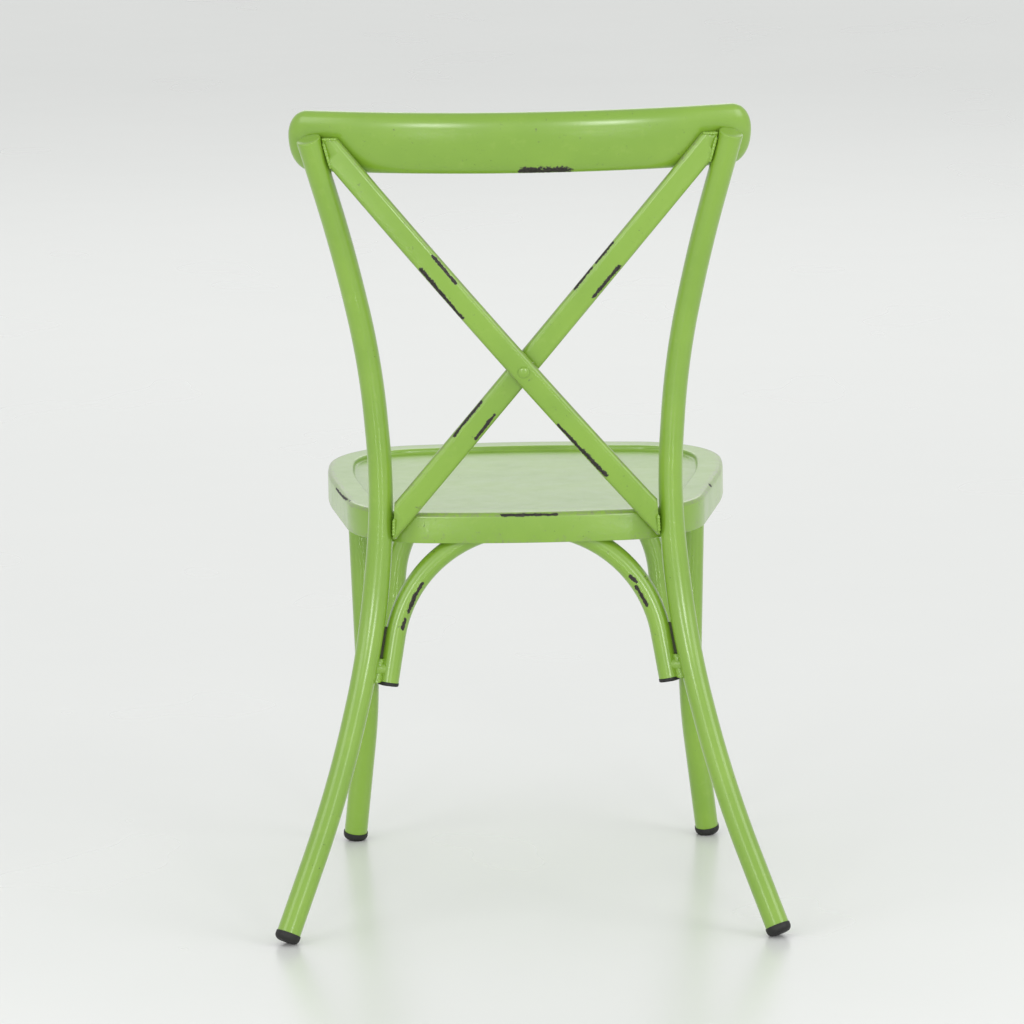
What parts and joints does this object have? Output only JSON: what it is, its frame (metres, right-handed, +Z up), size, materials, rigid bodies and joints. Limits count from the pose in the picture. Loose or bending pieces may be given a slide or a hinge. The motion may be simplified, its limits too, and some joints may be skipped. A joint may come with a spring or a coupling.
{
  "type": "cross-back metal side chair",
  "caption": "Armless side chair with a pressed seat pan on bent round tube legs, two bars crossing in the back, a bowed top rail and a bent hoop under each end of the seat.",
  "frame": {"origin": "middle of the chair's footprint, on the floor", "axes": "+Z up, -Y the way a sitter faces, +X the sitter's left"},
  "size_m": [0.541, 0.5144, 0.8713],
  "materials": {
    "green_paint": "distressed satin powder coat on steel, worn dark at edges",
    "black_plastic": "moulded black polyethylene, satin"
  },
  "bodies": {
    "root": {"seat_pan": "green_paint", "top_rail": "green_paint", "rail_end_cap_left": "green_paint", "rail_end_cap_right": "green_paint", "rear_leg_left": "green_paint", "rear_leg_right": "green_paint", "front_leg_left": "green_paint", "front_leg_right": "green_paint", "rear_foot_cap_left": "black_plastic", "rear_foot_cap_right": "black_plastic", "front_foot_cap_left": "black_plastic", "front_foot_cap_right": "black_plastic", "post_end_disc_left": "green_paint", "post_end_disc_right": "green_paint", "back_bar_rear": "green_paint", "back_bar_front": "green_paint", "crossing_rivet": "green_paint", "rear_hoop": "green_paint", "front_hoop": "green_paint", "rear_hoop_plug_left": "black_plastic", "rear_hoop_plug_right": "black_plastic", "front_hoop_plug_left": "black_plastic", "front_hoop_plug_right": "black_plastic", "rear_hoop_spacer_left": "green_paint", "rear_hoop_spacer_right": "green_paint", "front_leg_plate_left": "green_paint", "front_leg_plate_right": "green_paint", "cross_brace_upper": "green_paint", "cross_brace_lower": "green_paint"}
  },
  "joints": []
}
